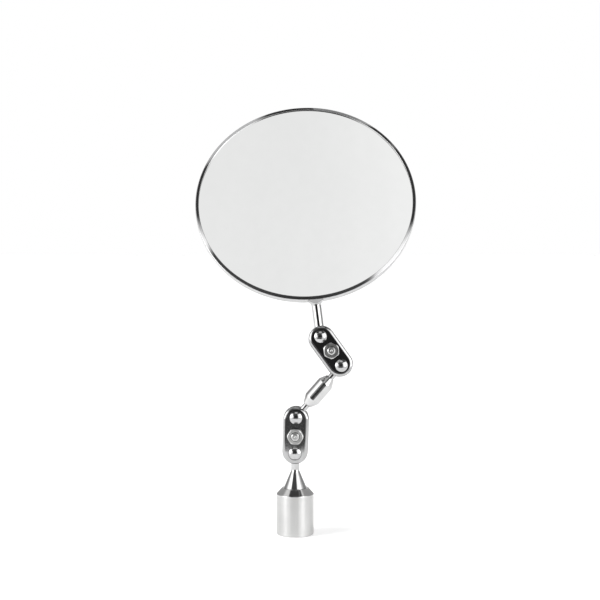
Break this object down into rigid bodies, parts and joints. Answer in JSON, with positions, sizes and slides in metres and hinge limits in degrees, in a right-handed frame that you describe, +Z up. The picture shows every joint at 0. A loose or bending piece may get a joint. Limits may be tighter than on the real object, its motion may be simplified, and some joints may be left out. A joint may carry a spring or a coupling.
{
  "type": "extendable shaving mirror",
  "caption": "Round framed mirror on a jointed chromed arm, with ball joints in screw clamps and a socket for a handle.",
  "frame": {"origin": "centre of the mouth of the base socket", "axes": "+Z up along the socket and the stud, -Y towards the front of the mirror, +X to its right as seen from the front"},
  "size_m": [0.0851, 0.0524, 0.162],
  "materials": {
    "polished_chrome": "polished chrome plate with fine wipe marks",
    "brushed_nickel": "satin nickel plate, brushed round the turned faces",
    "plated_steel": "bright zinc or nickel plated steel with turning marks",
    "mirror_glass": "silvered flat glass",
    "black_foam": "thin black foam"
  },
  "bodies": {
    "base": {"base_socket": "brushed_nickel", "base_stud": "polished_chrome"},
    "base_ball": {"base_ball": "polished_chrome"},
    "lower_clamp": {"lower_front_plate": "polished_chrome", "lower_rear_plate": "polished_chrome", "lower_clamp_screw": "plated_steel", "lower_clamp_nut": "plated_steel"},
    "link_lower_ball": {"link_lower_ball": "polished_chrome"},
    "link": {"link_lower_rod": "polished_chrome", "link_barrel": "polished_chrome", "link_upper_rod": "polished_chrome"},
    "link_upper_ball": {"link_upper_ball": "polished_chrome"},
    "upper_clamp": {"upper_front_plate": "polished_chrome", "upper_rear_plate": "polished_chrome", "upper_clamp_screw": "plated_steel", "upper_clamp_nut": "plated_steel"},
    "mirror_ball": {"mirror_ball": "polished_chrome"},
    "mirror": {"mirror_stem": "polished_chrome", "mirror_rim": "polished_chrome", "mirror_glass": "mirror_glass", "mirror_pad": "black_foam", "mirror_back_cover": "brushed_nickel"}
  },
  "joints": [
    {"name": "base_twist", "type": "hinge", "parent": "base", "child": "base_ball", "pos_m": [0, 0, 0.0305], "axis": [0, 0, 1], "continuous": true},
    {"name": "base_swing", "type": "hinge", "parent": "base_ball", "child": "lower_clamp", "pos_m": [0, 0, 0.0305], "axis": [-0.0297, -0.9996, 0.0008], "range_deg": [-120, 120]},
    {"name": "link_lower_swing", "type": "hinge", "parent": "lower_clamp", "child": "link_lower_ball", "pos_m": [0.00037, 0, 0.04369], "axis": [0.0297, 0.9996, -0.0008], "range_deg": [-150, 78]},
    {"name": "link_lower_twist", "type": "hinge", "parent": "link_lower_ball", "child": "link", "pos_m": [0.00037, 0, 0.04369], "axis": [0.6582, 0.0384, 0.7519], "continuous": true},
    {"name": "link_upper_twist", "type": "hinge", "parent": "link", "child": "link_upper_ball", "pos_m": [0.01702, 0.00097, 0.06272], "axis": [0.6582, 0.0384, 0.7519], "continuous": true},
    {"name": "link_upper_swing", "type": "hinge", "parent": "link_upper_ball", "child": "upper_clamp", "pos_m": [0.01702, 0.00097, 0.06272], "axis": [0.0268, -0.9916, 0.1265], "range_deg": [-150, 42]},
    {"name": "mirror_swing", "type": "hinge", "parent": "upper_clamp", "child": "mirror_ball", "pos_m": [0.00931, 0.00212, 0.07337], "axis": [-0.0268, 0.9916, -0.1265], "range_deg": [-88, 100]},
    {"name": "mirror_twist", "type": "hinge", "parent": "mirror_ball", "child": "mirror", "pos_m": [0.00931, 0.00212, 0.07337], "axis": [-0.1241, 0.1392, 0.9825], "continuous": true}
  ]
}
